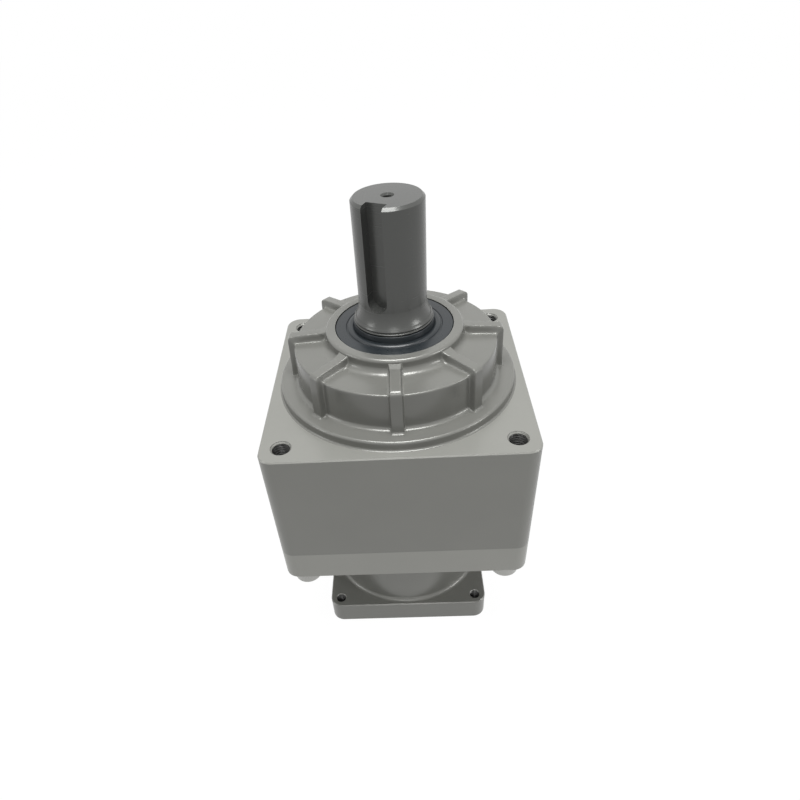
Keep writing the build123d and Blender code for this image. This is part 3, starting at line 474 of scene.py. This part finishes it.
def make_collar():
    """The shaft's collar above the seal: two round beads that catch the light, the lower one wider."""
    foot = 229.42
    lower_bead = [(22.4, foot), (23.75, foot), (23.75, 230.35), (23.1, 230.6)]
    upper_bead = [(23.1, 231.2), (23.5, 231.5), (22.95, 232.5), (22.3, 233.4)]
    edge = rounded_path(lower_bead + upper_bead, [0.5, 0.4, 0.25, 0.25, 0.35, 0.3])
    return turned_piece("shaft_collar", edge, ground_shaft, "output_shaft")


nose = make_nose()
block = make_block()
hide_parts("output_housing")
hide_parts("output_housing")
seal = make_seal()
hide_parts("output_seal")
adapter_piece = make_adapter()
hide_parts("motor_adapter")
for index, (x, y) in enumerate(mounting_holes):
    make_thread(
        f"mounting_thread_{index}", x, y, mounting_crest, mounting_root, mounting_pitch,
        face_level - mounting_depth, face_level - hair, [(face_level, 1)],
    )
    make_hole_edge(
        f"mounting_hole_edge_{index}", x, y, mounting_mouth, mounting_mouth_foot,
        face_level, milled_block,
    )
for index, (x, y) in enumerate(motor_holes):
    make_thread(
        f"motor_thread_{index}", x, y, motor_crest, motor_root, motor_pitch,
        hair, flange_top - hair, [(flange_top, 1), (0, -1)],
    )
    make_hole_edge(
        f"motor_hole_edge_{index}", x, y, motor_mouth, motor_mouth_foot,
        flange_top, turned_adapter,
    )
make_collar()

# Floor, background, lamps and camera


def make_floor():
    """A wide white floor that glows to the camera and still takes a little of the object's shadow."""
    size = 3.0
    level = -0.0005
    mesh = bpy.data.meshes.new("floor")
    corners = [(-size, -size, level), (size, -size, level), (size, size, level), (-size, size, level)]
    mesh.from_pydata(corners, [], [(0, 1, 2, 3)])
    floor = bpy.data.objects.new("floor", mesh)
    bpy.context.scene.collection.objects.link(floor)
    material, tree_nodes, links = new_material("floor_white")
    shader = tree_nodes["Principled BSDF"]
    shader.inputs["Base Color"].default_value = (0.18, 0.18, 0.18, 1)
    shader.inputs["Roughness"].default_value = 0.9
    mesh.materials.append(material)
    glow = tree_nodes.new("ShaderNodeEmission")
    glow.inputs["Strength"].default_value = 1.16
    share = tree_nodes.new("ShaderNodeMath")
    share.operation = "MULTIPLY"
    share.inputs[1].default_value = 0.85
    links.new(seen_directly(tree_nodes, links), share.inputs[0])
    mix = tree_nodes.new("ShaderNodeMixShader")
    links.new(share.outputs["Value"], mix.inputs["Fac"])
    links.new(shader.outputs["BSDF"], mix.inputs[1])
    links.new(glow.outputs["Emission"], mix.inputs[2])
    links.new(mix.outputs["Shader"], tree_nodes["Material Output"].inputs["Surface"])


def seen_directly(tree_nodes, links):
    """1 for camera, glossy and transmission rays, and 0 for the rest."""
    path = tree_nodes.new("ShaderNodeLightPath")
    first = tree_nodes.new("ShaderNodeMath")
    first.operation = "MAXIMUM"
    links.new(path.outputs["Is Camera Ray"], first.inputs[0])
    links.new(path.outputs["Is Glossy Ray"], first.inputs[1])
    second = tree_nodes.new("ShaderNodeMath")
    second.operation = "MAXIMUM"
    links.new(first.outputs["Value"], second.inputs[0])
    links.new(path.outputs["Is Transmission Ray"], second.inputs[1])
    return second.outputs["Value"]


def make_world():
    """White to the camera and in reflections, softer as a light."""
    world = bpy.data.worlds.new("studio")
    bpy.context.scene.world = world
    world.use_nodes = True
    tree_nodes = world.node_tree.nodes
    links = world.node_tree.links
    strength = tree_nodes.new("ShaderNodeMapRange")
    strength.inputs["To Min"].default_value = 0.14
    strength.inputs["To Max"].default_value = 1.0
    links.new(seen_directly(tree_nodes, links), strength.inputs["Value"])
    background = tree_nodes["Background"]
    background.inputs["Color"].default_value = (1, 1, 1, 1)
    links.new(strength.outputs["Result"], background.inputs["Strength"])


def add_lamp(name, place, target, size, energy):
    """A square area lamp that faces a point."""
    light = bpy.data.lights.new(name, "AREA")
    light.energy = energy
    light.size = size
    lamp = bpy.data.objects.new(name, light)
    lamp.location = place
    lamp.rotation_euler = (Vector(target) - Vector(place)).to_track_quat("-Z", "Y").to_euler()
    bpy.context.scene.collection.objects.link(lamp)


def add_camera():
    """The camera that took the photograph, from a fit to the object's edges."""
    azimuth = radians(4.10)
    elevation = radians(42.21)
    roll = radians(-5.12)
    back = Vector((sin(azimuth) * cos(elevation), -cos(azimuth) * cos(elevation), sin(elevation)))
    right = Vector((cos(azimuth), sin(azimuth), 0))
    up = back.cross(right)
    camera_right = cos(roll) * right + sin(roll) * up
    camera_up = cos(roll) * up - sin(roll) * right
    camera_data = bpy.data.cameras.new("camera")
    camera_data.lens = 27.37
    camera_data.shift_x = 0.0274
    camera_data.shift_y = 0.075
    camera = bpy.data.objects.new("camera", camera_data)
    rotation = Matrix((camera_right, camera_up, back)).transposed()
    camera.matrix_world = Matrix.Translation((0.00637, -0.32725, 0.41125)) @ rotation.to_4x4()
    bpy.context.scene.collection.objects.link(camera)
    bpy.context.scene.camera = camera


make_floor()
make_world()
add_lamp("top_lamp", (0.0, -0.14, 1.3), (0, 0, 0.15), 0.6, 16)
add_lamp("left_lamp", (-1.05, -0.35, 0.55), (0, 0, 0.2), 0.35, 1.5)
add_lamp("right_lamp", (1.05, -0.4, 0.55), (0, 0, 0.2), 0.35, 3.0)
add_lamp("front_lamp", (0.0, -1.15, 0.95), (0, 0, 0.1), 0.4, 2)
add_camera()
bpy.context.scene.view_settings.view_transform = "Standard"
